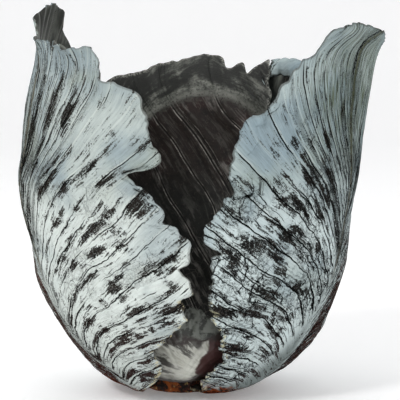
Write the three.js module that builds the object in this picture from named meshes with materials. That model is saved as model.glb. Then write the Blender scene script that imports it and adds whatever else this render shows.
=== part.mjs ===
// A red cabbage opened up: three big wrapper leaves stand like a cup round a hollow heart, with
// the torn base of a front leaf between them, all growing from one short cut stump.
//
// Units are millimetres and +Z is up. Azimuths are degrees round the upright axis, seen from
// above: 0 is the front (-Y), 90 is the right (+X), 180 is the back and -90 is the left.
// The group is shifted at the end, so that its origin is the middle of the footprint of the whole
// cabbage, on the surface that it stands on.
import * as THREE from "three";

// ---- Driving dimensions ----

const BLADE_THICKNESS = 1.3; // leaf blade, out towards the margin
const RIB_THICKNESS = 3.4; // leaf base, along the midrib
const RIB_HALF_WIDTH = 13; // how far the thick rib spreads to each side
const DEPTH_RATIO = 0.93; // the cup is a little shallower from front to back than across
const LEAN = { right: 5, forward: 5 }; // how far the cup's middle stands from the stump's
const SPREAD = [24, 60]; // radii between which the cup takes up that lean and that depth
const RIB_FADE = 0.7; // how soon the rib thins out upwards: lower keeps it thick for longer
const CURL_BAND = 15; // width of the band that curls along an upper margin
const GRID = { columns: 30, rows: 24 }; // facets of one big leaf
const TORN_GRID = { columns: 14, rows: 12 };

// The stump: a squat disc with a flat cut face, its side cut back to a blunt edge.
const STUMP_PROFILE = [
  [0, 0],
  [19, 0],
  [20.4, 1.2],
  [21, 4],
  [20.5, 7.5],
  [16, 9.5],
  [0, 10.2],
];
const STUMP_SIDES = 32;

// ---- One-variable curves ----

// A smooth curve through [x, y] points, in rising x, that is flat beyond both ends.
function smooth(points) {
  const slope = points.map((_, i) => {
    const before = points[Math.max(i - 1, 0)];
    const after = points[Math.min(i + 1, points.length - 1)];
    return (after[1] - before[1]) / (after[0] - before[0]);
  });
  return (x) => {
    if (x <= points[0][0]) return points[0][1];
    const next = points.findIndex((p) => p[0] >= x);
    if (next < 0) return points.at(-1)[1];
    const [x0, y0] = points[next - 1];
    const [x1, y1] = points[next];
    const span = x1 - x0;
    const t = (x - x0) / span;
    const rise = t * t * (3 - 2 * t);
    return (
      y0 * (1 - rise) +
      y1 * rise +
      span * (slope[next - 1] * t * (1 - t) ** 2 - slope[next] * t * t * (1 - t))
    );
  };
}

// ---- The leaves ----
//
// Each leaf is a sheet that lies on its own cup. profile is the cup's outline from the stump
// to the rim, as [radius, height]. right and left give the azimuth of the leaf's two side
// margins by height, and top gives the height of its upper margin by azimuth. midrib is the
// azimuth of its thick rib. curl bends a band along the upper margin, in degrees by azimuth:
// a positive bend rolls it outwards and a negative one rolls it in.

const LEFT_LEAF = {
  name: "left_leaf",
  color: 0xa8b2b4,
  midrib: -92,
  profile: [
    [21.8, 3.6], [36, 5.4], [48, 10], [62, 24], [74, 41.5], [84, 62], [88, 84],
    [93, 105], [95.5, 118], [94, 132], [92.5, 149], [90, 165], [85, 184], [81, 216],
  ],
  left: smooth([[4, -164], [60, -168], [120, -164], [160, -160]]),
  right: smooth([
    [4, -40], [12, -24], [25, -15], [32, -16], [40, -9], [48, -4], [64, 0.5], [71, 1],
    [79, -2], [90, -0.5], [97, -2], [103, -7], [114, -11], [124, -16], [130, -12],
    [136, -9], [146, -12.5], [160, -14.5],
  ]),
  top: smooth([
    [-160, 134], [-150, 142], [-141, 153], [-134, 168], [-128, 185], [-121, 203], [-112, 215],
    [-104, 210], [-94, 204], [-84, 201], [-70, 194], [-58, 189], [-50, 195],
    [-43, 192], [-33, 187], [-28, 177], [-22, 171], [-14.5, 161],
  ]),
  curl: smooth([[-120, 0], [-112, -30], [-60, 10], [-40, 25], [-14, 20]]),
};

const RIGHT_LEAF = {
  name: "right_leaf",
  color: 0x9aa8aa,
  midrib: 82,
  profile: [
    [21.8, 3.4], [38, 5.4], [53, 13.8], [68, 29.6], [76, 44.8], [85, 67], [88, 87],
    [91, 104.5], [94.6, 130], [97, 148], [99, 164], [103, 183], [107, 198], [108, 212],
  ],
  left: smooth([
    [4, 12], [11, 8], [18, 9.5], [26, 14], [40, 12.4], [51, 9], [68, 7], [80, 8],
    [86, 9.5], [92, 6.5], [98, 5.2], [106, 7.5], [114, 11], [120, 13.8], [130, 12.7],
    [143, 14.7], [158, 19.8],
  ]),
  right: smooth([[4, 164], [60, 163], [120, 158], [165, 152]]),
  top: smooth([
    [19.8, 158], [24, 161], [26, 171], [30, 176], [34, 184], [39, 188], [42, 195],
    [48, 201], [62, 202], [78, 200], [90, 198], [102, 191], [120, 184], [134, 188],
    [144, 191], [149, 182], [152, 168],
  ]),
  curl: smooth([[20, 15], [45, 10], [90, 20], [120, -10], [132, -75], [143, -75], [152, 0]]),
};

const BACK_LEAF = {
  name: "back_leaf",
  color: 0x3a302c,
  midrib: 158,
  profile: [
    [15, 12.8], [30, 12.8], [44, 17], [57, 28], [69, 47], [77, 66], [82.5, 86], [86, 104],
    [87.5, 120], [87.5, 135], [87, 148], [87.5, 158], [90.5, 167], [97, 174.5], [105, 180],
    [113, 184],
  ],
  left: smooth([[12, 130], [60, 116], [110, 122], [148, 150], [165, 157], [180, 160]]),
  right: smooth([[12, 226], [60, 238], [110, 238], [148, 230], [180, 226]]),
  top: smooth([
    [160, 172], [163, 178], [167, 176], [170, 181.5], [186, 182.5], [196, 180.5],
    [206, 176], [214, 170], [226, 160],
  ]),
  curl: smooth([[150, 0], [230, 0]]),
};

const TORN_LEAF = {
  name: "torn_front_leaf",
  color: 0xa6a69e,
  midrib: -3,
  profile: [[18.5, 10.8], [32, 10.6], [44, 16], [52, 26], [56, 38], [56.5, 47], [55.5, 56]],
  left: smooth([[10, -48], [30, -34], [55, -24]]),
  right: smooth([[10, 34], [30, 27], [55, 18]]),
  top: smooth([[-24, 46], [-12, 53], [-4, 52], [2, 54], [10, 49], [18, 41]]),
  curl: smooth([[-30, 0], [30, 0]]),
};

const PROFILE_STEPS = 2000; // places along a profile at which its height is read
const PROBE = 1e-3; // small step over u and v, which gives the surface's own directions
const STRAIGHT = 1e-5; // a bend below this many radians per millimetre counts as none

// The share of a profile's length at which it reaches a height, on its way up to the rim.
function shareAtHeight(curve, height) {
  let step = PROFILE_STEPS;
  while (step > 0 && curve.getPointAt(step / PROFILE_STEPS).y > height) step -= 1;
  return step / PROFILE_STEPS;
}

// A point of the leaf's middle surface: u runs from its left margin to its right margin as
// they are named, and v from the stump to the upper margin.
function leafSurface(leaf) {
  const curve = new THREE.SplineCurve(leaf.profile.map(([r, z]) => new THREE.Vector2(r, z)));
  const total = curve.getLength();
  const highest = leaf.profile.at(-1)[1];
  const reached = new Map();
  const topLength = (azimuth) => {
    if (!reached.has(azimuth)) reached.set(azimuth, shareAtHeight(curve, leaf.top(azimuth)));
    return reached.get(azimuth) * total;
  };
  const between = (height, u) => THREE.MathUtils.lerp(leaf.left(height), leaf.right(height), u);

  return (u, v) => {
    const reach = topLength(between(highest, u));
    const along = v * reach;
    const at = curve.getPointAt(Math.min(along / total, 1));
    const slope = curve.getTangentAt(Math.min(along / total, 1));
    const azimuth = between(at.y, u);
    // The band under the upper margin bends round an arc, which keeps its length.
    const into = Math.max(0, along - (reach - CURL_BAND));
    const bend = (leaf.curl(azimuth) * Math.PI) / 180 / CURL_BAND;
    let forward = 0;
    let outward = 0;
    if (into > 0 && Math.abs(bend) > STRAIGHT) {
      forward = Math.sin(bend * into) / bend - into;
      outward = (1 - Math.cos(bend * into)) / bend;
    }
    const radius = at.x + slope.x * forward + slope.y * outward;
    const height = at.y + slope.y * forward - slope.x * outward;
    const angle = (azimuth * Math.PI) / 180;
    const spread = THREE.MathUtils.smoothstep(at.x, ...SPREAD);
    return new THREE.Vector3(
      radius * Math.sin(angle) + LEAN.right * spread,
      -radius * Math.cos(angle) * THREE.MathUtils.lerp(1, DEPTH_RATIO, spread) - LEAN.forward * spread,
      height,
    );
  };
}

// How thick the leaf is: a stout rib at the base that thins out sideways and upwards.
function thickness(leaf, point, v) {
  const azimuth = Math.atan2(point.x, -point.y);
  const turn = Math.abs(azimuth - (leaf.midrib * Math.PI) / 180) % (2 * Math.PI);
  const off = Math.min(turn, 2 * Math.PI - turn) * Math.hypot(point.x, point.y);
  const rib = Math.exp(-((off / RIB_HALF_WIDTH) ** 2)) * (1 - v) ** RIB_FADE;
  return BLADE_THICKNESS + (RIB_THICKNESS - BLADE_THICKNESS) * rib;
}

// A leaf is a thin slab, whose length and width follow the leaf's surface.
function leafMesh(leaf, { columns, rows }) {
  const surface = leafSurface(leaf);
  const slab = new THREE.BoxGeometry(1, 1, 1, columns, rows, 1);
  const position = slab.getAttribute("position");
  const inset = 1 - 2 * PROBE;
  for (let i = 0; i < position.count; i += 1) {
    const u = PROBE + inset * (position.getX(i) + 0.5);
    const v = PROBE + inset * (position.getY(i) + 0.5);
    const point = surface(u, v);
    const across = surface(u + PROBE, v).sub(surface(u - PROBE, v));
    const upward = surface(u, v + PROBE).sub(surface(u, v - PROBE));
    const normal = across.cross(upward).normalize();
    point.addScaledVector(normal, position.getZ(i) * thickness(leaf, point, v));
    position.setXYZ(i, point.x, point.y, point.z);
  }
  slab.computeVertexNormals();
  const skin = new THREE.MeshStandardMaterial({ color: leaf.color, roughness: 0.6, metalness: 0 });
  const mesh = new THREE.Mesh(slab, skin);
  mesh.name = leaf.name;
  return mesh;
}

// ---- The stump ----

function stumpMesh() {
  const outline = STUMP_PROFILE.map(([r, z]) => new THREE.Vector2(r, z));
  const disc = new THREE.LatheGeometry(outline, STUMP_SIDES).rotateX(Math.PI / 2);
  const cork = new THREE.MeshStandardMaterial({ color: 0x6b4526, roughness: 0.7, metalness: 0 });
  const mesh = new THREE.Mesh(disc, cork);
  mesh.name = "stem_stump";
  return mesh;
}

// ---- The cabbage ----

const cabbage = new THREE.Group();
cabbage.add(stumpMesh());
for (const leaf of [LEFT_LEAF, RIGHT_LEAF, BACK_LEAF]) cabbage.add(leafMesh(leaf, GRID));
cabbage.add(leafMesh(TORN_LEAF, TORN_GRID));

// The origin is the middle of the footprint.
const middle = new THREE.Box3().setFromObject(cabbage, true).getCenter(new THREE.Vector3());
cabbage.position.set(-middle.x, -middle.y, 0);

export default cabbage;
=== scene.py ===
import math

import bmesh
import bpy
import numpy as np
from mathutils import Matrix, Vector, noise


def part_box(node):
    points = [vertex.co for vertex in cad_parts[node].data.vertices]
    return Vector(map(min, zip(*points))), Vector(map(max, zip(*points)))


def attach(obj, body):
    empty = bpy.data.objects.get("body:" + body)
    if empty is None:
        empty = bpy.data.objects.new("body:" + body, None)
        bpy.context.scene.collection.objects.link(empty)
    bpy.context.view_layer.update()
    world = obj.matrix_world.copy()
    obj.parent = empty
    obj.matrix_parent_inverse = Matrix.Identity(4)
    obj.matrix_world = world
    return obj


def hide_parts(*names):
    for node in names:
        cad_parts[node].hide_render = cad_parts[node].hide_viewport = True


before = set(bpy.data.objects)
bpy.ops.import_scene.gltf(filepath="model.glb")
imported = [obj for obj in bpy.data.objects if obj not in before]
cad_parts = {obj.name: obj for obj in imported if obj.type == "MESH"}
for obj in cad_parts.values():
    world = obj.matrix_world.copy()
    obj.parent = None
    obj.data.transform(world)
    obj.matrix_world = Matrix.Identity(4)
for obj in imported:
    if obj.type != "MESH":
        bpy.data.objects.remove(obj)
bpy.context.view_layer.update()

# ---- The cut stump ----
# The foot of the plant's stem: a squat disc of woody tissue, orange-brown and corky round its
# side, with paler flat cut faces underneath and on top, where the head was. The leaves were
# growing from its edge.

MM = 0.001  # the shapes below are worked out in millimetres

stump_low, stump_high = (np.array(corner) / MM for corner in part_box("stem_stump"))
STEM_AXIS = (stump_low + stump_high) / 2  # the stem's middle, which every leaf stands round
STUMP_RADIUS = (stump_high[0] - stump_low[0]) / 2
STUMP_HEIGHT = stump_high[2] - stump_low[2]
STUMP_FLAT = 0.9  # share of the radius that is flat on the cut face
BARK_ROUGHNESS = 1.0  # millimetres
LEVEL = 0.9  # faces of the stump whose normals stand this nearly upright are cut faces


def paint(red, green, blue):
    """A colour given as a swatch card gives it, 0 to 255, for a shader."""
    levels = [part / 255 for part in (red, green, blue)]
    return [v / 12.92 if v <= 0.04045 else ((v + 0.055) / 1.055) ** 2.4 for v in levels] + [1.0]


class Finish:
    """A material under construction, with short names for the steps that mix its pattern."""

    def __init__(self, name, roughness, specular=0.35):
        self.material = bpy.data.materials.new(name)
        self.material.use_nodes = True
        self.tree = self.material.node_tree
        self.shader = self.tree.nodes["Principled BSDF"]
        self.shader.inputs["Roughness"].default_value = roughness
        self.shader.inputs["Specular IOR Level"].default_value = specular
        self.place = self.step("ShaderNodeTexCoord").outputs["Object"]

    def step(self, kind, settings=None, **inputs):
        node = self.tree.nodes.new(kind)
        for key, value in (settings or {}).items():
            setattr(node, key, value)
        for key, value in inputs.items():
            self.feed(node.inputs[int(key[1:])] if key[0] == "i" and key[1:].isdigit()
                      else node.inputs[key.replace("_", " ")], value)
        return node

    def feed(self, socket, value):
        if isinstance(value, bpy.types.NodeSocket):
            self.tree.links.new(value, socket)
        else:
            socket.default_value = value

    def sum(self, operation, first, second=0.0, clamp=False):
        node = self.step("ShaderNodeMath", {"operation": operation, "use_clamp": clamp},
                         i0=first, i1=second)
        return node.outputs[0]

    def plus(self, first, second):
        return self.sum("ADD", first, second)

    def minus(self, first, second):
        return self.sum("SUBTRACT", first, second)

    def times(self, first, second):
        return self.sum("MULTIPLY", first, second)

    def size(self, value):
        """The value without its sign."""
        return self.sum("ABSOLUTE", value)

    def around(self, noise_value, amount):
        """Turns a noise from 0 to 1 into one around 0, amount wide."""
        return self.times(self.minus(noise_value, 0.5), amount)

    def fade(self, value, start, end, low=0.0, high=1.0):
        """Goes smoothly from low, where value is start, to high, where it is end."""
        node = self.step("ShaderNodeMapRange", {"interpolation_type": "SMOOTHSTEP"}, Value=value,
                         From_Min=start, From_Max=end, To_Min=low, To_Max=high)
        return node.outputs[0]

    def blend(self, share, first, second):
        node = self.step("ShaderNodeMix", {"data_type": "RGBA"}, i0=share, i6=first, i7=second)
        return node.outputs[2]

    def join(self, x, y, z=0.0):
        return self.step("ShaderNodeCombineXYZ", i0=x, i1=y, i2=z).outputs[0]

    def cloud(self, where, scale, detail=3.0, roughness=0.55):
        node = self.step("ShaderNodeTexNoise", Vector=where, Scale=scale, Detail=detail,
                         Roughness=roughness)
        return node.outputs["Fac"]

    def cells(self, where, scale):
        """How far each point is from the nearest border of a net of uneven cells."""
        node = self.step("ShaderNodeTexVoronoi", {"feature": "DISTANCE_TO_EDGE"}, Vector=where,
                         Scale=scale)
        return node.outputs["Distance"]

    def attribute(self, name):
        return self.step("ShaderNodeAttribute", {"attribute_name": name}).outputs["Fac"]

    def veins(self):
        """The number of the side vein at each point, and the distance along it."""
        vein_map = self.step("ShaderNodeUVMap", {"uv_map": "veins"}).outputs[0]
        return self.step("ShaderNodeSeparateXYZ", i0=vein_map).outputs[:2]

    def stretched(self, number, distance, across, along):
        """A place for a pattern that is drawn out along the veins."""
        return self.join(self.times(number, across), self.times(distance, along))

    def from_whole(self, number):
        """How far a number is from the nearest whole one, -0.5 to 0.5."""
        return self.minus(self.sum("FRACT", self.plus(number, 0.5)), 0.5)

    def finish(self, colour, relief=None, depth=0.0004, roughness=None):
        self.tree.links.new(colour, self.shader.inputs["Base Color"])
        if relief is not None:
            bump = self.step("ShaderNodeBump", Height=relief, Distance=depth, Strength=1.0)
            self.tree.links.new(bump.outputs[0], self.shader.inputs["Normal"])
        if roughness is not None:
            self.tree.links.new(roughness, self.shader.inputs["Roughness"])
        return self.material


def new_object(name, shape, *finishes):
    mesh = bpy.data.meshes.new(name)
    shape.to_mesh(mesh)
    shape.free()
    for finish in finishes:
        mesh.materials.append(finish)
    mesh.shade_smooth()
    made = bpy.data.objects.new(name, mesh)
    bpy.context.scene.collection.objects.link(made)
    return made


def new_piece(name, shape, *finishes):
    piece = new_object(name, shape, *finishes)
    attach(piece, "root")
    return piece


def cork_finish():
    cork = Finish("cork_bark", 0.62)
    warts = cork.cloud(cork.place, 420, 6)
    patches = cork.cloud(cork.place, 150, 4)
    colour = cork.blend(cork.fade(patches, 0.4, 0.6), paint(56, 25, 16), paint(172, 88, 28))
    colour = cork.blend(cork.fade(warts, 0.44, 0.56), colour, paint(24, 15, 12))
    crumbs = cork.fade(cork.cloud(cork.place, 330, 4), 0.6, 0.66, 0, 0.8)
    colour = cork.blend(crumbs, colour, paint(188, 158, 104))
    return cork.finish(colour, warts, 0.0008)


def cut_face_finish():
    cut = Finish("cut_stem", 0.7)
    middle = cut.step("ShaderNodeVectorMath", {"operation": "SUBTRACT"}, i0=cut.place,
                      i1=tuple(STEM_AXIS * MM)).outputs[0]
    reach = cut.step("ShaderNodeVectorMath", {"operation": "LENGTH"}, i0=middle).outputs["Value"]
    grain = cut.cloud(cut.place, 260, 5)
    ring = cut.fade(cut.plus(reach, cut.times(grain, 0.003)), 0.013, 0.019)
    pith = cut.blend(grain, paint(196, 178, 132), paint(150, 118, 76))
    return cut.finish(cut.blend(ring, pith, paint(104, 66, 40)), grain, 0.0003)


stump_shape = bmesh.new()
outline = [(0, 0), (STUMP_FLAT, 0), (1, 0.12), (1.06, 0.45), (1.06, 0.8), (1, 1.15), (0.85, 1.3),
           (0, 1.35)]
rim_points = [stump_shape.verts.new((r * STUMP_RADIUS, 0, z * STUMP_HEIGHT)) for r, z in outline]
rim = [stump_shape.edges.new(pair) for pair in zip(rim_points, rim_points[1:])]
bmesh.ops.spin(stump_shape, geom=rim_points + rim, axis=(0, 0, 1), cent=(0, 0, 0), dvec=(0, 0, 0),
               angle=math.tau, steps=48, use_merge=True, use_duplicate=False)
bmesh.ops.remove_doubles(stump_shape, verts=stump_shape.verts, dist=0.01)
bmesh.ops.subdivide_edges(stump_shape, edges=stump_shape.edges, cuts=2, use_grid_fill=True,
                          smooth=0.4)
bmesh.ops.recalc_face_normals(stump_shape, faces=stump_shape.faces)
for vertex in stump_shape.verts:
    side = math.hypot(vertex.co.x, vertex.co.y) / STUMP_RADIUS
    knobs = noise.fractal(vertex.co * 0.25, 1.0, 2.0, 4) * BARK_ROUGHNESS
    vertex.co.xy *= 1 + (knobs - BARK_ROUGHNESS) / STUMP_RADIUS * max(0, side - 0.5) * 2
    vertex.co.z = max(0, vertex.co.z)
    vertex.co.x += STEM_AXIS[0]
    vertex.co.y += STEM_AXIS[1]
stump_shape.transform(Matrix.Scale(MM, 4))
for face in stump_shape.faces:
    face.material_index = 1 if abs(face.normal.z) > LEVEL else 0
stump = new_piece("stem_stump_bark", stump_shape, cork_finish(), cut_face_finish())
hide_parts("stem_stump")

# ---- The left leaf ----
# One old wrapper leaf, the tallest, seen from outside. It is a thin tough blade with a blue-grey
# waxy bloom, rubbed off in dark patches, and stiff veins that fan out from a broad midrib along
# its left. Its tip folds over behind and shows the dark inner face.

LEAN = (5.0, -5.0)  # the cup's middle stands this far to the right of the stem's, and in front
DEPTH_RATIO = 0.93  # the cup is a little shallower from front to back than across
SPREAD = (24.0, 60.0)  # radii between which the cup takes up that lean and that depth
USUAL_BAND = 15.0  # width of the band that curls along an upper margin
COLUMNS, ROWS = 216, 206  # faces across and up one big leaf
BLADE_THICKNESS = 1.1
RIB_THICKNESS = 3.2
RIB_HEIGHT = (1.6, 1.2)  # how far the midrib stands out at the tip, and how much more at the foot
RIB_WIDTH = (4.0, 7.0)  # half its width, in the same way
VEIN_HEIGHT = 0.55  # how far a side vein stands out of the blade
VEIN_WIDTH = 1.1
OUTER_SPACINGS = (10.0, 15.0)  # of side veins below the first and above the last vein_heights
VEIN_WOBBLE = (0.16, 26.0)  # veins wander by this share of their spacing, in waves this long
SPACING_PASSES = 4  # times that the veins' spacing is evened out across the leaf
PUCKER_DEPTH, BUMP_HEIGHT, FRILL_HEIGHT = 0.75, 0.22, 2.8
FAN_AZIMUTH = 30.0  # degrees from the front, where vein_heights are read
BUNDLE = (40.0, 9.0)  # side veins run along the midrib at first: how far, and within what width
# How steeply side veins climb, by height: nearly level low down, upright near the rim.
CLIMB = ((0, 0.12), (20, 0.2), (40, 0.35), (60, 0.45), (80, 0.55), (100, 0.65), (115, 0.9),
         (130, 1.2), (145, 1.7), (160, 2.6), (185, 6.0))


def smooth(points):
    """A smooth curve through (x, y) points, in rising x, that is flat beyond both ends."""
    xs, ys = np.array(points, float).T
    after, before = np.r_[1:len(xs), len(xs) - 1], np.r_[0, 0:len(xs) - 1]
    slopes = (ys[after] - ys[before]) / (xs[after] - xs[before])

    def curve(x):
        x = np.clip(x, xs[0], xs[-1])
        i = np.clip(np.searchsorted(xs, x) - 1, 0, len(xs) - 2)
        span = xs[i + 1] - xs[i]
        t = (x - xs[i]) / span
        rise = t * t * (3 - 2 * t)
        bow = slopes[i] * t * (1 - t) ** 2 - slopes[i + 1] * t * t * (1 - t)
        return ys[i] * (1 - rise) + ys[i + 1] * rise + span * bow

    return curve


def step_up(x, low, high):
    t = np.clip((x - low) / (high - low), 0, 1)
    return t * t * (3 - 2 * t)


def hump(x, width):
    return np.exp(-((x / width) ** 2))


def rough_line(x, seed, *waves):
    """Uneven waves along a line: each wave is (length, height)."""
    total = np.zeros_like(x)
    for i, (length, height) in enumerate(waves):
        samples = [noise.noise(Vector((value / length, seed + 7.3 * i, 0.5))) for value in x.flat]
        total += np.reshape(samples, x.shape) * height
    return total


def rough_field(points, seed, scale):
    """Smooth random heights from -1 to 1 over an array of points."""
    flat = points.reshape(-1, 3) / scale + seed
    return np.reshape([noise.noise(Vector(p)) for p in flat], points.shape[:-1])


def cup_profile(points, per_span=60):
    """Length, radius and height along a smooth profile through [radius, height] points."""
    p = np.array(points, float)
    p = np.vstack([p[:1], p, p[-1:]])
    t = np.linspace(0, 1, per_span, endpoint=False)[:, None]
    spans = [
        0.5 * (2 * b + (c - a) * t + (2 * a - 5 * b + 4 * c - d) * t**2
               + (3 * b - a - 3 * c + d) * t**3)
        for a, b, c, d in zip(p, p[1:], p[2:], p[3:])
    ]
    line = np.vstack(spans + [p[-1:]])
    length = np.r_[0, np.cumsum(np.hypot(*np.diff(line, axis=0).T))]
    return length, line[:, 0], line[:, 1]


def leaf_grid(leaf, columns, rows):
    """Lays a grid over the leaf, and works out what its veins do at every point of it."""
    length, radii, heights = cup_profile(leaf["profile"])
    directions = np.gradient(np.c_[radii, heights], length, axis=0)
    u, v = np.meshgrid(np.linspace(0, 1, columns + 1), np.linspace(0, 1, rows + 1))

    def margin_azimuth(height, share):
        coarse = leaf["left"](height) * (1 - share) + leaf["right"](height) * share
        near_right, near_left = step_up(share, 0.9, 1), step_up(share, 0.1, 0)
        ragged = rough_line(height[:, :1], leaf["seed"], *leaf["ragged"])
        ragged = ragged * (1 + 1.2 * step_up(height[:, :1], 75, 35))
        return coarse + ragged * (near_right - near_left)

    top_azimuth = margin_azimuth(np.full_like(u, leaf["profile"][-1][1]), u)
    top_height = leaf["top"](top_azimuth[:1])
    top_height = top_height + rough_line(top_azimuth[:1] * 1.5, leaf["seed"] + 3, *leaf["ragged"])
    climbing = np.maximum.accumulate(heights)
    reach = np.interp(top_height, climbing + np.arange(len(climbing)) * 1e-9, length)
    along = v * reach
    radius, height = np.interp(along, length, radii), np.interp(along, length, heights)
    azimuth = margin_azimuth(height, u)
    slope = [np.interp(along, length, directions[:, axis]) for axis in (0, 1)]

    # Where the outline steps sharply, the margin is taken to be near from the side as well.
    column = np.arange(columns + 1)
    apart = np.abs(np.subtract.outer(column, column)) / columns * (
        np.radians(np.ptp(top_azimuth[0])) * radii[-1])
    margin = np.min(reach[0] + 2 * apart, axis=1)[None, :]
    band = leaf["band"](azimuth)
    into = np.maximum(0, along - (margin - band))
    bend = np.radians(leaf["curl"](azimuth)) / band
    bend = np.where(np.abs(bend) < 1e-5, 1e-5, bend)
    forward = np.sin(bend * into) / bend - into
    outward = (1 - np.cos(bend * into)) / bend
    spread = step_up(radius, *SPREAD)
    curled_radius = radius + slope[0] * forward + slope[1] * outward
    angle = np.radians(azimuth)
    points = np.stack([
        STEM_AXIS[0] + curled_radius * np.sin(angle) + LEAN[0] * spread,
        STEM_AXIS[1] - curled_radius * np.cos(angle) * (1 + (DEPTH_RATIO - 1) * spread)
        + LEAN[1] * spread,
        height + slope[1] * forward - slope[0] * outward,
    ], axis=-1)

    # Each point lies on a side vein, or between two. The vein's number is worked out from where
    # it crosses the fan azimuth, at one of the leaf's vein_heights.
    steepness = smooth(leaf["climb"])
    climbed = np.r_[0, np.cumsum(np.diff(length) / steepness(heights[1:]))]

    def bundled(distance):
        return distance + BUNDLE[0] * (1 - np.exp(-distance / BUNDLE[1]))

    def from_midrib(azimuths, at_radius, at_height):
        turn = np.abs(azimuths - leaf["midrib"](at_height))
        return np.radians(np.minimum(turn, 360 - turn)) * at_radius

    away = from_midrib(azimuth, radius, height)
    side = np.sign(leaf["fan"] - leaf["midrib"](height))
    beyond = (leaf["midrib"](height) - azimuth) * side > 0
    fan = climbed - bundled(from_midrib(leaf["fan"], radii, heights))
    fan = np.maximum.accumulate(fan) + np.arange(len(fan)) * 1e-6
    crossing = np.interp(np.interp(along, length, climbed) - bundled(away), fan, length)
    overshoot = np.maximum(0, np.interp(along, length, climbed) - bundled(away) - fan[-1])
    undershoot = fan[0] - (np.interp(along, length, climbed) - bundled(away))
    crossing -= np.maximum(0, undershoot) * steepness(0.0)
    at = np.interp(leaf["vein_heights"], climbing + np.arange(len(climbing)) * 1e-9, length)
    number = np.interp(crossing, at, np.arange(len(at), dtype=float))
    number += np.maximum(0, crossing - at[-1]) / OUTER_SPACINGS[1]
    number -= np.maximum(0, at[0] - crossing) / OUTER_SPACINGS[0]
    number += overshoot / leaf["crowded"]
    number += VEIN_WOBBLE[0] * rough_field(points, leaf["seed"] + 11, VEIN_WOBBLE[1])
    return {"points": points, "azimuth": azimuth, "height": height, "along": along,
            "margin": margin, "u": u, "v": v, "number": number, "away": away, "radius": radius,
            "distance": away * 0.8 + along, "beyond": np.where(beyond, away, 0)}


def surface_steps(points):
    across, upward = np.gradient(points, axis=1), np.gradient(points, axis=0)
    normal = np.cross(across, upward)
    return across, upward, normal / np.linalg.norm(normal, axis=-1, keepdims=True)


def vein_spacing(grid):
    """Millimetres between side veins, measured square across them."""
    across, upward, _ = surface_steps(grid["points"])
    by_column, by_row = np.gradient(grid["number"], axis=1), np.gradient(grid["number"], axis=0)
    e, g = (across**2).sum(-1), (upward**2).sum(-1)
    f = (across * upward).sum(-1)
    change = (g * by_column**2 - 2 * f * by_column * by_row + e * by_row**2) / (e * g - f * f)
    spacing = np.clip(1 / np.sqrt(np.maximum(change, 1e-6)), 1.5, 30)
    for _ in range(SPACING_PASSES):
        spacing[:, 1:-1] = (spacing[:, :-2] + 2 * spacing[:, 1:-1] + spacing[:, 2:]) / 4
    return spacing


def edge_distance(grid):
    """Millimetres to the nearest side or upper margin, without a kink between the two."""
    width = np.radians(grid["azimuth"][:, -1:] - grid["azimuth"][:, :1]) * grid["radius"]
    sides = np.minimum(grid["u"], 1 - grid["u"]) * width
    sides, top = np.maximum(sides, 0.01), np.maximum(grid["margin"] - grid["along"], 0.01)
    return (sides**-3 + top**-3) ** (-1 / 3)


def rubbed_places(grid, leaf):
    """Where the bloom is rubbed off. Each place is (azimuth, height, length along the veins,
    width across them, strength), in degrees and millimetres."""
    total = np.zeros_like(grid["u"])
    for azimuth, height, long, wide, strength in leaf["rubbed"]:
        nearest = np.argmin(np.hypot((grid["azimuth"] - azimuth) * 1.6, grid["height"] - height))
        number, distance = grid["number"].flat[nearest], grid["distance"].flat[nearest]
        across = (grid["number"] - number) * grid["spacing"]
        close = hump(grid["height"] - height, 60) * hump((grid["azimuth"] - azimuth) * 1.6, 60)
        spot = hump(grid["distance"] - distance, long / 1.4) * hump(across, wide / 2.6)
        total = np.maximum(total, strength * spot * step_up(close, 0.1, 0.4))
    return total


def general_wear(grid, leaf):
    """How worn the bloom is as a whole, most of all by the midrib and low down."""
    inland = step_up(grid["away"], 60, 12)
    wear = smooth(leaf["wear_by_midrib"])(grid["height"]) * inland
    wear += smooth(leaf["wear_by_margin"])(grid["height"]) * (1 - inland)
    return wear


def bare_and_shaded_places(grid):
    """Where no bloom is left, and where shade is painted: beyond the midrib low down, on the side
    that turns away, partly bare skin and partly painted shade; and by the foot, bare.
    """
    turned = step_up(grid["beyond"], 7, 15) * step_up(grid["beyond"], 68, 24)
    turned = turned * step_up(grid["height"], 125, 50)
    return np.maximum(turned, step_up(grid["height"], 15, 6))


def relief(grid, leaf):
    """How far each point stands outside the smooth cup."""
    spacing, edge = grid["spacing"], grid["edge"]
    off = (grid["number"] - np.round(grid["number"])) * spacing
    inland = step_up(edge, 0, 6)
    foot = step_up(grid["along"], 6, 40)
    away = grid["away"]
    rib_width = RIB_WIDTH[0] + RIB_WIDTH[1] * (1 - grid["v"])
    rib_height = RIB_HEIGHT[0] + RIB_HEIGHT[1] * (1 - grid["v"])
    rib = rib_height * hump(away, rib_width) * leaf["rib"]
    veins = VEIN_HEIGHT * hump(off, VEIN_WIDTH) * (0.35 + 0.65 * inland)
    puff = np.cos(math.tau * grid["number"]) * np.minimum(spacing / 12, 1.2)
    puckers = -PUCKER_DEPTH * puff * (0.6 + 1.5 * np.exp(-edge / 14) * leaf["frill"])
    puckers *= step_up(away, 3, 16)
    waves = rough_field(grid["points"], leaf["seed"] + 5, 34) * leaf["waves"]
    bumps = rough_field(grid["points"], leaf["seed"] + 8, 7) * BUMP_HEIGHT
    fine = rough_field(grid["points"] * (1, 1, 0.5), leaf["seed"] + 2, 13)
    frills = fine * FRILL_HEIGHT * np.exp(-edge / 7) * leaf["frill"]
    return foot * (rib + veins + puckers + waves + bumps + frills)


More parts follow.
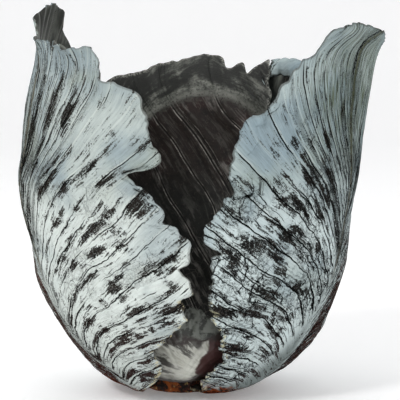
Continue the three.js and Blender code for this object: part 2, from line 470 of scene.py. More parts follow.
def make_leaf(leaf, columns, rows, finishes):
    grid = leaf_grid(leaf, columns, rows)
    grid["spacing"] = vein_spacing(grid)
    grid["edge"] = edge_distance(grid)
    grid["rubbed"] = rubbed_places(grid, leaf)
    grid["bare_and_shade"] = bare_and_shaded_places(grid)
    grid["wear"] = general_wear(grid, leaf)
    _, _, normal = surface_steps(grid["points"])
    points = grid["points"] + normal * relief(grid, leaf)[..., None]
    thick = BLADE_THICKNESS + (RIB_THICKNESS - BLADE_THICKNESS) * (
        hump(grid["away"], 11) * (1 - grid["v"]) ** 0.7)
    thick *= 0.55 + 0.45 * step_up(grid["edge"], 0, 5)

    shape = bmesh.new()
    bmesh.ops.create_grid(shape, x_segments=columns, y_segments=rows, size=0.5)
    for vertex, point in zip(shape.verts, points.reshape(-1, 3)):
        vertex.co = point * MM
    leaf_piece = new_piece(leaf["name"] + "_blade", shape, *finishes)
    mesh = leaf_piece.data

    vein_map = mesh.uv_layers.new(name="veins")
    corners = np.empty(len(mesh.loops), int)
    mesh.loops.foreach_get("vertex_index", corners)
    along_veins = np.c_[grid["number"].ravel()[corners], grid["distance"].ravel()[corners]]
    vein_map.data.foreach_set("uv", along_veins.ravel())
    for name in ("spacing", "edge", "rubbed", "bare_and_shade", "wear", "away", "height"):
        mesh.attributes.new(name, "FLOAT", "POINT").data.foreach_set("value", grid[name].ravel())

    group = leaf_piece.vertex_groups.new(name="thickness")
    shares = np.round(thick / RIB_THICKNESS, 2).ravel()
    for level in np.unique(shares):
        group.add(np.flatnonzero(shares == level).tolist(), float(level), "REPLACE")
    wall = leaf_piece.modifiers.new("thickness", "SOLIDIFY")
    wall.thickness = RIB_THICKNESS * MM
    wall.vertex_group = group.name
    wall.offset = 0
    wall.material_offset = 1
    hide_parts(leaf["name"])
    return leaf_piece


# The outer face: bloom, rubbed to dark brown in places, crossed by dark lines along the veins that
# are partly dirt in cracks of the bloom and partly painted shade in the creases, with pale painted
# highlights on the vein ridges beside them; low down beyond the midrib it is dark, partly bare skin
# and partly painted shade.
BLOOM_WHITE = paint(204, 211, 209)
BLOOM_PALE = paint(170, 179, 178)
BLOOM_BLUE = paint(140, 153, 158)
BLOOM_GREEN = paint(150, 158, 148)
RUBBED_DARK = paint(11, 10, 10)
RUBBED_BROWN = paint(40, 31, 25)
SMUDGE_GREY = paint(74, 75, 72)
CREASE_SHADE_AND_DIRT = paint(17, 17, 16)
RIDGE_HIGHLIGHT = paint(196, 203, 199)
SMOOTH_RIB = paint(98, 104, 101)
RIB_BROWN = paint(84, 78, 62)
MAROON = paint(44, 20, 19)
FOOT_BROWN = paint(112, 50, 20)
FOOT_DARK = paint(34, 18, 15)


def bloom_finish(name, tint, net_strength, rib_width=0.4, olive_at=None):
    skin = Finish(name, 0.6, 0.0)
    smooth_number, distance = skin.veins()
    spacing, rubbed, wear = (skin.attribute(n) for n in ("spacing", "rubbed", "wear"))
    away, height, edge = (skin.attribute(n) for n in ("away", "height", "edge"))
    place = skin.place

    wander = skin.times(skin.around(skin.cloud(place, 80, 4), 5.0),
                        skin.fade(height, 150, 85, 0.35, 1.0))
    wander = skin.sum("DIVIDE", wander, spacing)
    number = skin.plus(smooth_number, wander)

    def offset(count):
        """Millimetres from the nearest of count lines between neighbouring side veins."""
        turns = skin.times(number, count)
        return skin.times(skin.from_whole(turns), skin.sum("DIVIDE", spacing, count))

    def line(across, half_width):
        outside = skin.minus(skin.size(across), half_width)
        return skin.fade(outside, 0.14, -0.12)

    def presence(across_scale, along_scale, start, end, widest):
        """Half the width of a line that comes and goes along its vein, and more so where worn."""
        spot = skin.stretched(number, distance, across_scale, along_scale)
        value = skin.plus(skin.cloud(spot, 1.0, 2), skin.times(wear, 0.24))
        return skin.fade(value, start, end, -0.2, widest)

    roomy = skin.fade(spacing, 1.5, 6.0, 0.5, 1.0)
    side_vein = offset(1)
    # The dark lines along the veins are partly dirt in cracks of the bloom, partly painted shade.
    shade_and_crack_width = 0.2 + 0.14 * net_strength
    crease = line(side_vein, skin.times(presence(2.2, 0.02, 0.45, 0.6, shade_and_crack_width), roomy))
    hairline = line(offset(3), presence(6.5, 0.06, 0.64, 0.8, 0.14))
    crease = skin.sum("MAXIMUM", crease, skin.times(hairline, 0.85))

    # Side veins fork on their way to the margin, upwards and downwards.
    between = skin.sum("FRACT", number)
    for above, seed in ((False, 0.37), (True, 7.21)):
        which = skin.plus(skin.sum("FLOOR", number), seed)
        chance = skin.step("ShaderNodeTexWhiteNoise", {"noise_dimensions": "1D"}, W=which)
        start = skin.plus(skin.times(chance.outputs[0], 60), 14)
        drift = skin.fade(away, start, skin.plus(start, 34), 0.0, 0.4)
        share = skin.minus(1.0, between) if above else between
        gap = skin.times(skin.minus(share, drift), spacing)
        fork = line(gap, presence(4.1, 0.05, 0.52, 0.7, 0.2 + 0.08 * net_strength))
        crease = skin.sum("MAXIMUM", crease, fork)

    # The net of small veins between the side veins.
    shaken = skin.plus(skin.around(skin.cloud(place, 150, 4), 0.9),
                       skin.around(skin.cloud(place, 600, 3), 0.3))
    net_place = skin.join(
        skin.plus(skin.times(number, 1.1), shaken),
        skin.plus(skin.times(distance, 0.075), shaken))
    near_net = skin.plus(skin.cloud(place, 42, 2), skin.times(wear, 0.2))
    net = skin.fade(skin.cells(net_place, 1.0), 0.032, 0.01)
    net = skin.times(net, skin.fade(near_net, 0.58 - 0.09 * net_strength, 0.66, 0.0, net_strength))
    net = skin.times(net, skin.fade(height, 145, 125))
    crease = skin.sum("MAXIMUM", crease, net)
    fine_net = skin.fade(skin.cells(net_place, 3.6), 0.07, 0.02)
    by_patch = skin.plus(near_net, skin.times(rubbed, 0.25))
    fine_net = skin.times(fine_net, skin.fade(by_patch, 0.58, 0.72, 0.0, net_strength))
    crease = skin.sum("MAXIMUM", crease, skin.times(fine_net, 0.6))

    # The foot of the midrib is a smooth bare rib, and the creases start beside it.
    rib_half_width = skin.fade(height, 12, 60, rib_width, 0.4)
    beside_rib = skin.minus(away, rib_half_width)
    off_rib = skin.fade(beside_rib, -1.0, 1.5)
    crease = skin.times(crease, off_rib)
    rib_side = line(skin.minus(away, 2.4),
                    skin.fade(skin.cloud(place, 50, 2), 0.4, 0.55, -0.1, 0.35))
    crease = skin.sum("MAXIMUM", crease, skin.times(rib_side, skin.fade(height, 60, 80)))

    # Rubbed patches: chosen places, broken up along the veins, with speckled edges.
    long_grain = skin.stretched(number, distance, 2.3, 0.06)
    streaks = skin.stretched(number, distance, 13, 0.07)
    streak_noise = skin.cloud(streaks, 1.0, 4)
    speckle = skin.cloud(place, 1100, 3, 0.75)
    chosen = skin.times(rubbed, skin.fade(height, 95, 140, 0.36, 0.48))
    worn = skin.plus(chosen, skin.times(wear, 0.1))
    fields = skin.step("ShaderNodeTexVoronoi", {"feature": "F1"}, Vector=net_place, Scale=1.7)
    field = skin.step("ShaderNodeSeparateColor", i0=fields.outputs["Color"]).outputs[0]
    band_streak = skin.stretched(number, distance, 4.5, 0.035)
    for part in (skin.around(skin.cloud(long_grain, 1.0, 3), 0.8), skin.around(streak_noise, 1.2),
                 skin.around(skin.cloud(band_streak, 1.0, 3), 1.15), skin.around(field, 0.3),
                 skin.around(speckle, 1.0)):
        worn = skin.plus(worn, part)
    smudge = skin.fade(worn, 0.13, 0.27, 0.0, 0.6)
    patch = skin.fade(worn, 0.25, 0.3)
    flecks = skin.plus(skin.around(speckle, 1.0), skin.around(streak_noise, 0.7))
    patch = skin.times(patch, skin.minus(1.0, skin.fade(flecks, 0.1, 0.16, 0.0, 0.7)))

    drift = skin.cloud(place, 24, 4)
    colour = skin.blend(skin.fade(drift, 0.36, 0.62), BLOOM_BLUE, BLOOM_PALE)
    colour = skin.blend(skin.fade(skin.cloud(place, 31, 2), 0.5, 0.7, 0, 0.6), colour, BLOOM_GREEN)
    low_down = skin.times(skin.fade(height, 128, 95), skin.fade(drift, 0.33, 0.57, 0.33, 0.88))
    colour = skin.blend(low_down, colour, BLOOM_WHITE)
    dust = skin.fade(streak_noise, 0.32, 0.68, 1.07, 0.88)
    dusted = skin.step("ShaderNodeVectorMath", {"operation": "SCALE"}, i0=colour, i3=dust)
    # Painted highlight: pale lines along the raised vein ridges, beside the dark creases.
    ridge_highlight = skin.fade(skin.size(skin.minus(side_vein, 0.85)), 0.75, 0.1, 0, 0.5)
    ridge_highlight = skin.times(ridge_highlight, skin.fade(skin.cloud(streaks, 0.25, 2), 0.36, 0.56, 0.2, 1.0))
    thin_ridge_highlight = skin.fade(skin.size(offset(2)), 0.5, 0.05)
    thin_ridge_highlight = skin.times(thin_ridge_highlight, skin.fade(skin.cloud(streaks, 0.3, 2), 0.5, 0.7, 0, 0.3))
    ridge_highlight = skin.times(skin.sum("MAXIMUM", ridge_highlight, thin_ridge_highlight), off_rib)
    colour = skin.blend(ridge_highlight, dusted.outputs[0], RIDGE_HIGHLIGHT)
    colour = skin.blend(skin.fade(beside_rib, 4.0, -7.0, 0, 0.85), colour, SMOOTH_RIB)
    high_up = skin.fade(height, 60, 80)
    rib_line = skin.times(skin.fade(away, 1.7, 0.5, 0, 0.85), high_up)
    colour = skin.blend(rib_line, colour, RIB_BROWN)
    if olive_at is not None:
        gap = skin.step("ShaderNodeVectorMath", {"operation": "DISTANCE"}, i0=place, i1=olive_at)
        near = skin.fade(gap.outputs["Value"], 0.062, 0.02)
        share = skin.times(near, skin.fade(streak_noise, 0.42, 0.6, 0.22, 0.95))
        colour = skin.blend(share, colour, paint(74, 80, 54))
    grey = skin.blend(skin.fade(height, 70, 20, 0, 0.4), SMUDGE_GREY, MAROON)
    colour = skin.blend(smudge, colour, grey)
    brown = skin.blend(skin.fade(streak_noise, 0.35, 0.7), RUBBED_DARK, RUBBED_BROWN)
    brown = skin.blend(skin.fade(height, 70, 15, 0, 0.7), brown, MAROON)
    colour = skin.blend(skin.times(patch, 0.95), colour, brown)
    # Dark skin without bloom, and painted shade on the low side beyond the midrib that turns away.
    bare_and_shade = skin.plus(skin.attribute("bare_and_shade"), skin.around(skin.cloud(place, 150, 5, 0.7), 1.9))
    bare_and_shade = skin.plus(bare_and_shade, skin.around(streak_noise, 2.0))
    raw = skin.blend(skin.fade(streak_noise, 0.4, 0.6), paint(22, 13, 12), paint(70, 31, 25))
    raw = skin.blend(skin.fade(speckle, 0.56, 0.62, 0, 0.7), raw, paint(150, 152, 146))
    colour = skin.blend(skin.fade(bare_and_shade, 0.62, 0.76, 0, 0.95), colour, raw)
    low = skin.plus(height, skin.around(skin.cloud(place, 160, 4), 16))
    crust = skin.blend(skin.fade(skin.cloud(place, 330, 3), 0.42, 0.56), FOOT_DARK, FOOT_BROWN)
    colour = skin.blend(skin.fade(low, 13, 7, 0, 0.95), colour, crust)
    rim = skin.times(skin.fade(edge, 1.3, 0.4), skin.fade(drift, 0.4, 0.6, 0.2, 0.7))
    colour = skin.blend(rim, colour, paint(62, 58, 50))
    shreds = skin.times(skin.fade(edge, 3.5, 1.5), skin.fade(height, 75, 55))
    shreds = skin.times(shreds, skin.fade(skin.cloud(place, 420, 3), 0.52, 0.6, 0, 0.8))
    colour = skin.blend(shreds, colour, paint(196, 188, 156))
    # Dark lines along the veins: partly dirt in cracks of the bloom, partly painted shade in the
    # creases.
    colour = skin.blend(crease, colour, CREASE_SHADE_AND_DIRT)
    colour = skin.step("ShaderNodeMix", {"data_type": "RGBA", "blend_type": "MULTIPLY"},
                       i0=1.0, i6=colour, i7=tint).outputs[2]
    height_map = skin.minus(skin.times(streak_noise, 0.8), crease)
    height_map = skin.plus(height_map, skin.times(patch, -0.4))
    height_map = skin.plus(height_map, skin.times(ridge_highlight, 0.6))
    height_map = skin.plus(height_map, skin.times(skin.cloud(place, 230, 4), 2.0))
    return skin.finish(colour, height_map, 0.0005, skin.fade(patch, 0, 1, 0.65, 0.5))


def inner_finish(name, dark, light, vein_share):
    """The inner face: thin dark skin without bloom, with pale veins."""
    skin = Finish(name, 0.5, 0.3)
    number, distance = skin.veins()
    streaks = skin.stretched(number, distance, 3, 0.04)
    streak = skin.cloud(streaks, 1.0, 5)
    off = skin.times(skin.from_whole(number), skin.attribute("spacing"))
    line = skin.fade(skin.size(skin.plus(off, 0.5)), 0.75, 0.25)
    colour = skin.blend(skin.fade(streak, 0.4, 0.7), dark, light)
    colour = skin.blend(skin.times(line, vein_share), colour, paint(142, 143, 135))
    return skin.finish(colour, streak, 0.0005)


# What describes a leaf. Lengths are in millimetres, and azimuths in degrees round the stem, 0 in
# front and 90 on the right. profile: radius and height, up the leaf. left, right, midrib: azimuth
# by height. top, curl and band: the upper margin's height, how far it curls outwards, and how wide
# a band does so, by azimuth. ragged: the length and height of each wave of the margin. climb: how
# steep side veins are, by height. vein_heights: where they cross the fan azimuth. crowded: their
# spacing at the top. rib, frill and waves: how strong these are. The two wears go by height. For
# rubbed, see rubbed_places.
LEFT_LEAF = {
    "name": "left_leaf",
    "seed": 3.1,
    "profile": [
        (21.8, 3.6), (36, 5.4), (48, 10), (62, 24), (74, 41.5), (83, 62), (86.5, 84), (91, 105),
        (93, 118), (91.8, 132), (90.3, 149), (88, 165), (84, 184), (82.5, 202), (82, 216),
    ],
    "left": smooth([(4, -164), (60, -168), (120, -164), (160, -160)]),
    "right": smooth([
        (4, -40), (8, -30), (15, -18), (24, -15.3), (29.4, -18), (34, -15), (38, -10), (44, -4),
        (57, -2), (61.5, -2.6), (64, 0.7), (70, 1), (78, -3.2), (81, -0.5), (85, 0.3), (92.7, -0.3),
        (99.5, -4), (101, -7.6), (109, -8.3), (113.5, -11), (116, -11.4), (119, -15), (123, -16.8),
        (125.3, -19), (127.8, -18.4), (129.3, -12.5), (132, -9.2), (136, -9.3), (145, -12.7),
        (156, -12.8), (160, -14.4),
    ]),
    "top": smooth([
        (-160, 134), (-150, 142), (-141, 150), (-134, 160), (-128, 172), (-123, 188), (-120, 202),
        (-117, 207.5), (-113, 211), (-108, 213.5), (-102, 212), (-97, 209.5), (-93, 207),
        (-89, 203.5), (-84, 198), (-76, 195), (-68, 195.5), (-61, 193), (-58.4, 187), (-56, 191.5),
        (-51.7, 195), (-46.7, 194.5), (-43.7, 191.3), (-37.4, 190), (-34.3, 188.5), (-31.8, 182),
        (-28.8, 175.4), (-24, 172), (-19.6, 169.4), (-15.9, 164), (-14.4, 159),
    ]),
    "curl": smooth([(-120, 0), (-108, -25), (-98, -10), (-90, 15), (-80, 0), (-74, 5), (-66, 45),
                    (-58, 0), (-50, 60), (-43, 55), (-36, 15), (-28, 40), (-14, 35)]),
    "band": smooth([(-160, USUAL_BAND), (-14, USUAL_BAND)]),
    "ragged": ((9, 1.0), (3.2, 1.0), (1.7, 0.5)),
    "midrib": smooth([(4, -30), (20, -40), (28, -47), (40, -53), (56, -58), (75, -65), (114, -72),
                      (146, -68), (172, -66), (200, -70)]),
    "fan": -FAN_AZIMUTH,
    "climb": CLIMB,
    "crowded": 8.0,
    "vein_heights": (24, 32, 40, 46, 59, 72, 82, 96, 110, 120, 139, 160, 185),
    "rib": 0.8,
    "frill": 1.0,
    "waves": 1.3,
    "wear_by_midrib": ((0, 0.7), (60, 0.45), (150, 0.5), (175, 0.35), (200, 0.25)),
    "wear_by_margin": ((0, 0.6), (50, 0.35), (90, 0.1), (110, 0.1), (125, -0.1), (190, -0.2)),
    "rubbed": (
        (-52, 160, 30, 6.9, 1.1), (-43, 157, 20, 10.3, 0.99), (-66, 141, 32, 6.9, 1.1),
        (-59, 136, 23, 5.8, 0.99), (-53, 120, 22, 6.9, 1.1), (-45, 117, 19, 6.9, 0.99),
        (-32, 130, 16, 5.8, 0.99), (-28, 122, 11, 4.6, 0.99), (-17, 111, 32, 10.3, 1.3),
        (-30, 100, 35, 5.8, 1.21), (-25, 92, 18, 10.3, 0.99), (-47, 85, 38, 4.6, 0.99),
        (-35, 85, 16, 8, 0.99), (-44, 76, 15, 4.6, 0.99), (-37, 72, 19, 6.9, 1.1),
        (-29, 68, 20, 9.2, 0.99), (-13, 77, 38, 5.8, 0.99), (-13, 72, 30, 3.4, 0.88),
        (-6, 56, 18, 12.6, 1.3), (-14, 58, 32, 5.8, 0.99), (-45, 45, 16, 6.9, 0.99),
        (-26, 39, 35, 5.8, 1.1), (-17, 36, 30, 5.8, 0.99), (-50, 29, 22, 5.8, 0.99),
        (-43, 18, 19, 8, 1.1), (-21, 26, 19, 4.6, 0.99), (-22, 17, 16, 6.9, 0.99),
        (-70, 59, 45, 4.6, 0.99), (-69, 41, 45, 4.6, 0.99), (-68, 100, 38, 5.8, 0.99),
        (-69, 116, 24, 4.6, 0.99), (-55, 92, 32, 4.6, 0.99), (-71, 167, 32, 4.6, 0.88),
    ),
}

leaf_inside = inner_finish("inner_skin", paint(42, 44, 40), paint(106, 110, 102), 0.3)
left_leaf = make_leaf(
    LEFT_LEAF, COLUMNS, ROWS,
    (bloom_finish("bloom_left", paint(255, 255, 252), 0.4), leaf_inside))

# ---- The right leaf ----
# The other big wrapper leaf, also seen from outside. Its midrib climbs close to its right-hand
# edge, to a tip that flares outwards, and its far lip folds in over the hollow.

RIGHT_LEAF = {
    "name": "right_leaf",
    "seed": 8.6,
    "profile": [
        (21.8, 3.4), (38, 5.4), (53, 13.8), (68, 29.6), (76, 44.8), (84, 67), (87, 87),
        (89.5, 104.5), (92.6, 130), (94.6, 148), (97, 164), (100.4, 182), (103.2, 197), (104, 212),
    ],
    "left": smooth([
        (4, 12), (9, 9.4), (15.6, 10), (24.5, 14.6), (32, 12.8), (42, 11.9), (50, 9.3), (58, 7.5),
        (67.5, 7), (79.6, 7.9), (84, 7.6), (86, 11), (89, 6.9), (95, 5.2), (103, 6.3), (110, 10.7),
        (114.5, 11.4), (116.5, 14), (124, 12.9), (130, 12.6), (136, 13), (143, 14.8), (149, 15.8),
        (154, 17.7), (158, 20),
    ]),
    "right": smooth([(4, 164), (60, 163), (120, 158), (172, 153), (180, 148.5), (187, 147)]),
    "top": smooth([
        (20, 157.5), (22.6, 158.4), (24.4, 162), (27.2, 171.5), (29.8, 174.6), (31.2, 178.4),
        (34.6, 184), (37.5, 186.6), (39.9, 188.5), (41, 193), (43, 196.5), (46, 199.5), (50, 201.2),
        (59.4, 201.9), (73.8, 198.5), (82, 197), (98, 186), (112, 175), (124, 174), (129, 185),
        (133, 193), (138, 195.5), (143, 197), (147, 196), (153, 188),
    ]),
    "curl": smooth([(20, 15), (45, 10), (90, 20), (116, 0), (124, -60), (131, -190), (154, -190)]),
    "band": smooth([(116, USUAL_BAND), (130, 25)]),
    "ragged": ((9, 0.9), (3.2, 0.8), (1.7, 0.5)),
    "midrib": smooth([(4, 25), (15, 40), (35, 48), (64, 58.6), (103, 65), (136, 62), (162, 59),
                      (188, 59), (200, 70)]),
    "fan": FAN_AZIMUTH,
    "climb": CLIMB,
    "crowded": 8.0,
    "vein_heights": (26, 38.7, 48, 60, 73.5, 88.5, 101, 114, 128, 145, 160, 185),
    "rib": 0.8,
    "frill": 0.8,
    "waves": 1.2,
    "wear_by_midrib": ((0, 0.8), (100, 0.7), (150, 0.4), (175, 0.1), (200, 0)),
    "wear_by_margin": ((0, 0.8), (100, 0.6), (118, 0.3), (135, -0.1), (160, -0.2), (200, 0)),
    "rubbed": (
        (47, 119, 40, 5.8, 1.1), (53, 122, 32, 4.6, 1.1), (41, 123, 18, 8, 0.99),
        (35, 142, 7, 4.6, 0.99), (41, 142, 7, 4.6, 0.99), (49, 142, 20, 4.6, 0.99),
        (56, 152, 22, 3.4, 0.88), (31, 115, 19, 8, 0.99), (38, 110, 19, 8, 0.99),
        (36, 92, 22, 14.9, 1.3), (25, 88, 27, 11.5, 1.1), (12, 109, 16, 9.2, 1.1),
        (17, 81, 32, 6.9, 1.045), (43, 79, 15, 6.9, 0.77), (50, 82, 14, 6.9, 0.99),
        (60, 96, 46, 4.6, 1.1), (49, 106, 30, 5.8, 0.99), (10, 57, 18, 12.6, 1.3),
        (23, 54, 18, 9.2, 0.99), (38, 51, 15, 11.5, 0.99), (26, 66, 22, 9.2, 0.66),
        (43, 64, 16, 6.9, 0.88), (22, 44, 15, 6.9, 0.77), (37, 41, 16, 8, 0.88),
        (17, 32, 16, 10.3, 0.99), (21, 36, 22, 5.8, 0.99), (34, 30, 16, 9.2, 0.77),
        (82, 51, 30, 8, 0.99), (79, 35, 30, 6.9, 0.99), (74, 14, 30, 6.9, 0.99),
        (56, 6, 45, 8, 0.99), (72, 25, 24, 6.9, 0.99), (59, 183, 30, 4.6, 0.55),
    ),
}

OLIVE_TIP = tuple(np.array(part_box("right_leaf")[1]) - (0.014, 0.128, 0.036))
right_leaf = make_leaf(
    RIGHT_LEAF, COLUMNS, ROWS,
    (bloom_finish("bloom_right", paint(242, 248, 250), 1.0, 12.0, OLIVE_TIP), leaf_inside))

# ---- The back leaf ----
# A younger wrapper leaf at the back of the hollow, seen from inside. Its inner face is dark
# purple-brown and matt, with fine veins drawn as pale painted highlights beside dark lines of
# painted shadow, streaks and a faint net of painted sheen, and its rim rolls outwards into a dark
# band with lighter patches of painted sheen and a painted highlight along its lower fold.

BACK_LEAF = {
    "name": "back_leaf",
    "seed": 5.4,
    "profile": [
        (15, 12.8), (30, 12.8), (44, 17), (57, 28), (69, 47), (77, 66), (82.5, 86), (86, 104),
        (87.5, 120), (87.5, 135), (87, 148), (87.5, 158), (90.5, 167), (97, 174.5), (105, 180),
        (113, 184),
    ],
    "left": smooth([(12, 130), (60, 116), (110, 122), (148, 146), (160, 148), (170, 150),
                    (182, 151.5)]),
    "right": smooth([(12, 226), (60, 238), (110, 238), (148, 230), (180, 226)]),
    "top": smooth([
        (151, 176), (154, 177.5), (155.2, 181.5), (156.5, 177.5), (160, 171.5), (161.5, 175.5),
        (163.8, 178), (166, 176.5), (168.6, 176.3), (169.6, 181), (178, 181), (183, 179.5),
        (189, 177), (196, 174), (202, 171), (208, 170), (214, 166), (226, 158),
    ]),
    "curl": smooth([(150, 0), (230, 0)]),
    "band": smooth([(150, USUAL_BAND), (230, USUAL_BAND)]),
    "climb": ((0, 0.4), (60, 0.8), (110, 1.2)),
    "crowded": 26.0,
    "wear_by_midrib": ((0, 0.6), (184, 0.6)),
    "wear_by_margin": ((0, 0.5), (184, 0.5)),
    "ragged": ((8, 1.2), (3, 0.8)),
    "midrib": smooth([(12, 160), (60, 135), (120, 125), (184, 120)]),
    "fan": 190.0,
    "vein_heights": (20, 62, 104, 138, 160, 186),
    "rib": -0.6,
    "frill": 0.6,
    "waves": 1.4,
    "rubbed": (),
}


def back_inside_finish():
    skin = Finish("back_inner_skin", 0.55, 0.3)
    number, distance = skin.veins()
    height, edge = skin.attribute("height"), skin.attribute("edge")
    number = skin.plus(number, skin.around(skin.cloud(skin.place, 60, 2), 0.1))
    off = skin.times(skin.from_whole(number), skin.attribute("spacing"))
    # Painted shadow: a dark line along each vein, and beside it, stronger on one side, a pale
    # painted highlight.
    vein_shadow = skin.fade(skin.size(off), 0.5, 0.2)
    along = skin.stretched(number, distance, 2.0, 0.06)
    comes_and_goes = skin.fade(skin.cloud(along, 1.3, 2), 0.4, 0.62)
    beside = skin.minus(skin.size(off), 0.85)
    pale = skin.fade(skin.size(beside), 0.42, 0.1)
    pale = skin.times(pale, skin.sum("ADD", comes_and_goes, 0.12, True))
    pale = skin.times(pale, skin.fade(off, -0.2, 0.2, 1.0, 0.45))
    streaks = skin.stretched(number, distance, 7, 0.035)
    streak = skin.cloud(streaks, 1.0, 5, 0.65)
    grain = skin.cloud(skin.place, 700, 4, 0.7)
    large = skin.cloud(skin.place, 34, 3)
    purple = skin.blend(skin.fade(large, 0.4, 0.62), paint(36, 29, 25), paint(50, 26, 25))
    colour = skin.blend(skin.fade(height, 128, 88), purple, paint(29, 31, 27))
    sheen = skin.times(skin.fade(streak, 0.48, 0.64), skin.fade(large, 0.42, 0.58, 0.15, 0.85))
    colour = skin.blend(sheen, colour, paint(140, 138, 132))
    colour = skin.blend(skin.fade(grain, 0.56, 0.7, 0, 0.4), colour, paint(92, 82, 75))
    pits = skin.fade(skin.cloud(skin.place, 260, 5), 0.5, 0.66, 0, 0.6)
    colour = skin.blend(pits, colour, paint(16, 15, 14))
    # The pale painted highlights beside the veins, broken by grain.
    pale = skin.times(pale, skin.fade(grain, 0.36, 0.5, 0.25, 0.9))
    colour = skin.blend(pale, colour, paint(172, 168, 160))
    colour = skin.blend(skin.times(vein_shadow, 0.9), colour, paint(12, 11, 10))
    uneven = skin.plus(height, skin.around(large, 12))
    sideways = skin.step("ShaderNodeSeparateXYZ", i0=skin.place).outputs[0]
    arch = skin.sum("POWER", skin.sum("DIVIDE", skin.minus(sideways, 0.002), 0.028), 2.0)
    uneven = skin.plus(uneven, skin.times(arch, 10))
    # A faint net of pale lines: painted sheen.
    net_place = skin.join(skin.times(number, 2.2), skin.times(distance, 0.1),
                          skin.times(large, 3.0))
    net = skin.fade(skin.cells(net_place, 1.0), 0.05, 0.01, 0, 0.5)
    net = skin.times(net, skin.fade(large, 0.45, 0.6))
    colour = skin.blend(net, colour, paint(104, 100, 94))
    # The rolled rim band: dark grey-green, with lighter patches and radial streaks of painted sheen
    # on thin bloom, lightest towards its lower edge.
    level = skin.join(skin.times(sideways, 45), skin.times(uneven, 0.16))
    light = skin.plus(skin.cloud(level, 1.0, 5, 0.65), skin.fade(uneven, 172, 160, -0.06, 0.12))
    radial = skin.cloud(skin.stretched(number, edge, 5, 0.06), 1.0, 4)
    light = skin.plus(light, skin.around(radial, 0.35))
    band = skin.blend(skin.fade(light, 0.42, 0.74), paint(24, 26, 22), paint(122, 124, 116))
    band = skin.blend(skin.fade(grain, 0.5, 0.6, 0, 0.6), band, paint(17, 16, 14))
    rough_height = skin.plus(uneven, skin.around(grain, 14))
    colour = skin.blend(skin.fade(rough_height, 155, 161), colour, band)
    # Painted highlight along the fold at the band's lower edge.
    fold_highlight = skin.size(skin.minus(uneven, 160))
    fold_highlight = skin.times(skin.fade(fold_highlight, 2.4, 0.4, 0, 0.7), skin.fade(grain, 0.4, 0.55))
    colour = skin.blend(fold_highlight, colour, paint(118, 119, 112))
    lip = skin.times(skin.fade(edge, 3.0, 0.6), skin.fade(grain, 0.46, 0.56, 0, 0.9))
    colour = skin.blend(lip, colour, paint(138, 139, 131))
    return skin.finish(colour, skin.minus(grain, vein_shadow), 0.0004)


back_leaf = make_leaf(
    BACK_LEAF, 180, 180,
    (bloom_finish("bloom_back", paint(235, 240, 240), 0.6), back_inside_finish()))

# ---- The torn front leaf ----
# The base of a leaf that was torn off in front: a thick white midrib that bulges forward at the
# foot of the gap, stained maroon on its right, with a ragged grey-green torn edge that is darkened
# as painted shade under a dark line of painted shade, and a painted shadow at its foot.

TORN_LEAF = {
    "name": "torn_front_leaf",
    "seed": 1.7,
    "profile": [(18.5, 10.8), (32, 10.6), (44, 16), (52, 26), (56, 38), (56.5, 47), (55.5, 56)],
    "left": smooth([(10, -48), (30, -34), (55, -24)]),
    "right": smooth([(10, 34), (30, 27), (55, 18)]),
    "top": smooth([(-24, 46), (-12, 53), (-4, 52), (2, 54), (10, 49), (18, 41)]),
    "curl": smooth([(-30, 0), (30, 0)]),
    "band": smooth([(-30, USUAL_BAND), (30, USUAL_BAND)]),
    "climb": ((0, 0.5), (60, 0.5)),
    "crowded": 8.0,
    "wear_by_midrib": ((0, 0), (60, 0)),
    "wear_by_margin": ((0, 0), (60, 0)),
    "ragged": ((5, 1.8), (2, 1.2)),
    "midrib": smooth([(10, -3), (56, -3)]),
    "fan": -20.0,
    "vein_heights": (14, 20, 26, 32, 38, 44, 50),
    "rib": 0.8,
    "frill": 0.5,
    "waves": 0.6,
    "rubbed": (),
}


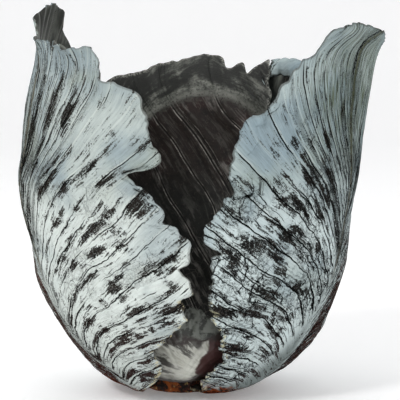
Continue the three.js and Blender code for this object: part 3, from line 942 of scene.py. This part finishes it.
def torn_finish():
    skin = Finish("torn_leaf_skin", 0.36, 0.4)
    place = skin.step("ShaderNodeSeparateXYZ", i0=skin.place)
    sideways, upward = (
        skin.minus(place.outputs[axis], at) for axis, at in zip((0, 2), STREAKS_MEET))
    angle = skin.sum("ARCTAN2", upward, sideways)
    reach = skin.sum("SQRT", skin.plus(skin.sum("POWER", sideways, 2.0),
                                       skin.sum("POWER", upward, 2.0)))
    streaks = skin.join(skin.times(angle, 6), skin.times(reach, 50))
    streak = skin.cloud(streaks, 1.0, 6, 0.65)
    height = skin.attribute("height")
    blotch = skin.cloud(skin.place, 110, 3)
    white = skin.blend(skin.fade(streak, 0.3, 0.6), paint(146, 146, 136), paint(196, 197, 188))
    reached = skin.plus(reach, skin.around(blotch, 0.02))
    feather = skin.times(skin.fade(streak, 0.46, 0.56), skin.fade(reached, 0.017, 0.028))
    colour = skin.blend(skin.times(feather, 0.92), white, paint(42, 39, 34))
    # The maroon stain lies right of an uneven line that bows to the right halfway up.
    bow = skin.fade(height, 19, 35, -0.0145, -0.007)
    bow = skin.plus(bow, skin.fade(height, 36, 45, 0, -0.005))
    stained = skin.plus(sideways, skin.around(blotch, 0.008))
    stain = skin.fade(skin.minus(stained, bow), -0.0005, 0.001)
    stain = skin.times(stain, skin.fade(streak, 0.62, 0.7, 1.0, 0.6))
    colour = skin.blend(skin.times(stain, 0.96), colour, paint(62, 28, 28))
    # A dark line of painted shade along the ragged top of the white.
    ragged = skin.plus(height, skin.around(blotch, 22))
    colour = skin.blend(skin.fade(ragged, 35, 37.5), colour, paint(44, 36, 33))
    # Painted shadow in the gap at the foot of the torn leaf, above the stump.
    under_shadow = skin.plus(height, skin.around(blotch, 8))
    colour = skin.blend(skin.fade(under_shadow, 17, 14), colour, paint(34, 24, 18))
    # Above it, the grey-green mottled upper part, darkened as painted shade.
    mottle_in_shade = skin.blend(skin.fade(skin.cloud(skin.place, 260, 4), 0.4, 0.56), paint(44, 46, 41),
                        paint(104, 108, 101))
    colour = skin.blend(skin.fade(ragged, 38, 41), colour, mottle_in_shade)
    return skin.finish(colour, blotch, 0.0006)


STREAKS_MEET = ((STEM_AXIS[0] + 22) * MM, 0.012)  # x and z of the point that the streaks leave
torn_leaf = make_leaf(TORN_LEAF, 110, 90, (torn_finish(), leaf_inside))

# ---- The setting ----
# A pale seamless floor that curves up into a round wall, soft light from a window on the left
# and from lamps on the right and above, and the camera in front.

SWEEP_PALE = paint(250, 250, 250)
sweep_finish = Finish("pale_sweep", 0.9, 0.2)
sweep_grain = sweep_finish.cloud(sweep_finish.place, 3, 2)
sweep_colour = sweep_finish.blend(sweep_grain, SWEEP_PALE, paint(247, 247, 248))
SWEEP_FLAT, SWEEP_BEND, SWEEP_TOP = 2.0, 1.0, 3.2
SWEEP_GLOW = 0.16  # it is lit from behind, so it shows almost white
sweep_side = [
    (SWEEP_FLAT + SWEEP_BEND * math.sin(turn), SWEEP_BEND * (1 - math.cos(turn)))
    for turn in np.linspace(0, math.pi / 2, 13)
]
sweep_side = [(0, 0)] + sweep_side + [(SWEEP_FLAT + SWEEP_BEND, SWEEP_TOP)]
sweep_shape = bmesh.new()
spots = [sweep_shape.verts.new((reach, 0, rise)) for reach, rise in sweep_side]
side_edges = [sweep_shape.edges.new(pair) for pair in zip(spots, spots[1:])]
bmesh.ops.spin(sweep_shape, geom=spots + side_edges, axis=(0, 0, 1), cent=(0, 0, 0),
               dvec=(0, 0, 0), angle=math.tau, steps=96, use_merge=True, use_duplicate=False)
bmesh.ops.remove_doubles(sweep_shape, verts=sweep_shape.verts, dist=0.001)
bmesh.ops.recalc_face_normals(sweep_shape, faces=sweep_shape.faces)
sweep_shape.faces.ensure_lookup_table()
if min(sweep_shape.faces, key=lambda face: face.calc_center_median().z).normal.z < 0:
    bmesh.ops.reverse_faces(sweep_shape, faces=sweep_shape.faces)
sweep_finish.shader.inputs["Emission Color"].default_value = SWEEP_PALE
sweep_finish.shader.inputs["Emission Strength"].default_value = SWEEP_GLOW
sweep = new_object("pale_sweep", sweep_shape, sweep_finish.finish(sweep_colour))


def soft_light(name, place, size, power):
    lamp = bpy.data.lights.new(name, "AREA")
    lamp.shape = "DISK"
    lamp.size = size
    lamp.energy = power
    light = bpy.data.objects.new(name, lamp)
    light.location = place
    light.rotation_euler = (Vector((0, 0, 0.1)) - Vector(place)).to_track_quat("-Z", "Y").to_euler()
    bpy.context.scene.collection.objects.link(light)


soft_light("window", (-0.9, -1.1, 1.2), 0.4, 12)
soft_light("fill", (1.0, -1.3, 0.6), 0.8, 5.5)
soft_light("top", (0.0, 0.3, 1.6), 1.0, 4)

ROOM_LIGHT = 0.5
world = bpy.data.worlds.new("room")
world.use_nodes = True
world.node_tree.nodes["Background"].inputs["Color"].default_value = (1, 1, 1, 1)
world.node_tree.nodes["Background"].inputs["Strength"].default_value = ROOM_LIGHT
bpy.context.scene.world = world
bpy.context.scene.view_settings.view_transform = "Standard"

CAMERA_DISTANCE = 1.0
CAMERA_RISE = math.radians(6)
VIEW_HEIGHT = 0.105
VIEW_SHIFT = 5.5  # millimetres to the right of the cup's middle
LENS_LENGTH = 163.6
lens = bpy.data.cameras.new("camera")
lens.lens = LENS_LENGTH
camera = bpy.data.objects.new("camera", lens)
aim = Vector(((STEM_AXIS[0] + LEAN[0] + VIEW_SHIFT) * MM, (STEM_AXIS[1] + LEAN[1]) * MM,
              VIEW_HEIGHT))
camera.location = aim + CAMERA_DISTANCE * Vector((0, -math.cos(CAMERA_RISE), math.sin(CAMERA_RISE)))
camera.rotation_euler = (aim - camera.location).to_track_quat("-Z", "Y").to_euler()
bpy.context.scene.collection.objects.link(camera)
bpy.context.scene.camera = camera
